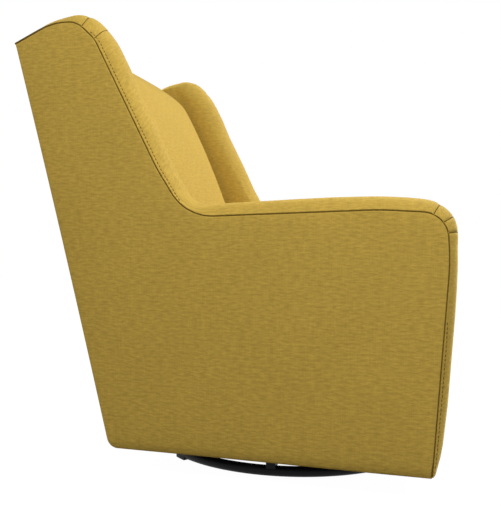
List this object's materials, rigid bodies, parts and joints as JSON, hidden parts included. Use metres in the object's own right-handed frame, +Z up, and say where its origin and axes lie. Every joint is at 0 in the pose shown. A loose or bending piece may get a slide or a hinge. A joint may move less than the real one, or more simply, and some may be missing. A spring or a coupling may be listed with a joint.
{
  "type": "swivel glider chair",
  "caption": "Upholstered wing-sided chair that glides fore and aft on hanging links and turns on a ball bearing over a round floor ring.",
  "frame": {"origin": "on the floor, under the middle of the chair's width and depth", "axes": "+Z up, the chair faces -Y, +X to the sitter's left"},
  "size_m": [0.744, 0.9511, 0.9908],
  "materials": {
    "upholstery": "matte mustard linen weave",
    "upholstery_band": "matte mustard linen weave",
    "plywood": "bare plywood",
    "hardwood": "bare planed hardwood",
    "deck_felt": "pressed felt",
    "webbing": "woven strap",
    "dust_cloth": "thin black cloth",
    "black_steel": "satin black powder coat",
    "zinc_steel": "zinc plated",
    "nylon": "moulded nylon",
    "black_plastic": "moulded",
    "rubber": "moulded rubber"
  },
  "bodies": {
    "floor base": {"base_ring": "black_steel", "base_cross": "black_steel", "cross_tube_plugs": "black_plastic", "hub_plate": "black_steel", "bearing_lower_race": "zinc_steel", "bearing_balls": "zinc_steel", "ball_cage": "nylon", "swivel_bolt": "zinc_steel", "swivel_washer": "zinc_steel", "swivel_nut": "zinc_steel", "floor_glides": "black_plastic"},
    "swivel frame": {"swivel_cradle": "black_steel", "upper_pivot_pins": "zinc_steel", "bearing_upper_race": "zinc_steel", "swivel_bush": "nylon"},
    "rear right link": {"link_rear_right": "black_steel", "bushes_rear_right": "nylon"},
    "rear left link": {"link_rear_left": "black_steel", "bushes_rear_left": "nylon"},
    "front right link": {"link_front_right": "black_steel", "bushes_front_right": "nylon"},
    "front left link": {"link_front_left": "black_steel", "bushes_front_left": "nylon"},
    "chair": {"side_panel_left": "upholstery", "side_panel_right": "upholstery", "outside_back": "upholstery", "edge_band_left": "upholstery_band", "edge_band_right": "upholstery_band", "inside_back": "upholstery_band", "seat_cushion": "upholstery_band", "front_border": "upholstery_band", "inner_pad_left": "upholstery_band", "inner_pad_right": "upholstery_band", "side_frame_left": "plywood", "side_frame_right": "plywood", "front_board": "plywood", "front_posts": "hardwood", "rear_seat_rail": "hardwood", "top_back_rail": "hardwood", "lower_back_rail": "hardwood", "rear_foot_rail": "hardwood", "mechanism_boards": "hardwood", "board_cleats": "hardwood", "seat_deck": "deck_felt", "back_webbing": "webbing", "dust_cover": "dust_cloth", "glide_rail_left": "black_steel", "glide_rail_right": "black_steel", "seat_springs": "zinc_steel", "spring_clips": "zinc_steel", "frame_screws": "zinc_steel", "rail_screws": "zinc_steel", "lower_pivot_pins": "zinc_steel", "stop_bumpers": "rubber"}
  },
  "joints": [
    {"name": "swivel", "type": "hinge", "parent": "floor base", "child": "swivel frame", "pos_m": [0, -0.0782, 0.064], "axis": [0, 0, 1], "continuous": true},
    {"name": "glide", "type": "hinge", "parent": "swivel frame", "child": "rear right link", "pos_m": [-0.1335, 0.0268, 0.163], "axis": [1, 0, 0], "range_deg": [-22, 22]},
    {"name": "glide_rear_left", "type": "hinge", "parent": "swivel frame", "child": "rear left link", "pos_m": [0.1335, 0.0268, 0.163], "axis": [1, 0, 0], "range_deg": [-22, 22]},
    {"name": "glide_front_right", "type": "hinge", "parent": "swivel frame", "child": "front right link", "pos_m": [-0.1335, -0.1832, 0.163], "axis": [1, 0, 0], "range_deg": [-22, 22]},
    {"name": "glide_front_left", "type": "hinge", "parent": "swivel frame", "child": "front left link", "pos_m": [0.1335, -0.1832, 0.163], "axis": [1, 0, 0], "range_deg": [-22, 22]},
    {"name": "chair_hang", "type": "hinge", "parent": "rear right link", "child": "chair", "pos_m": [-0.1335, 0.0268, 0.063], "axis": [1, 0, 0], "range_deg": [-22, 22]}
  ],
  "couplings": [
    {"joint": "glide_rear_left", "follows": "glide", "ratio": 1},
    {"joint": "glide_front_right", "follows": "glide", "ratio": 1},
    {"joint": "glide_front_left", "follows": "glide", "ratio": 1},
    {"joint": "chair_hang", "follows": "glide", "ratio": -1}
  ]
}
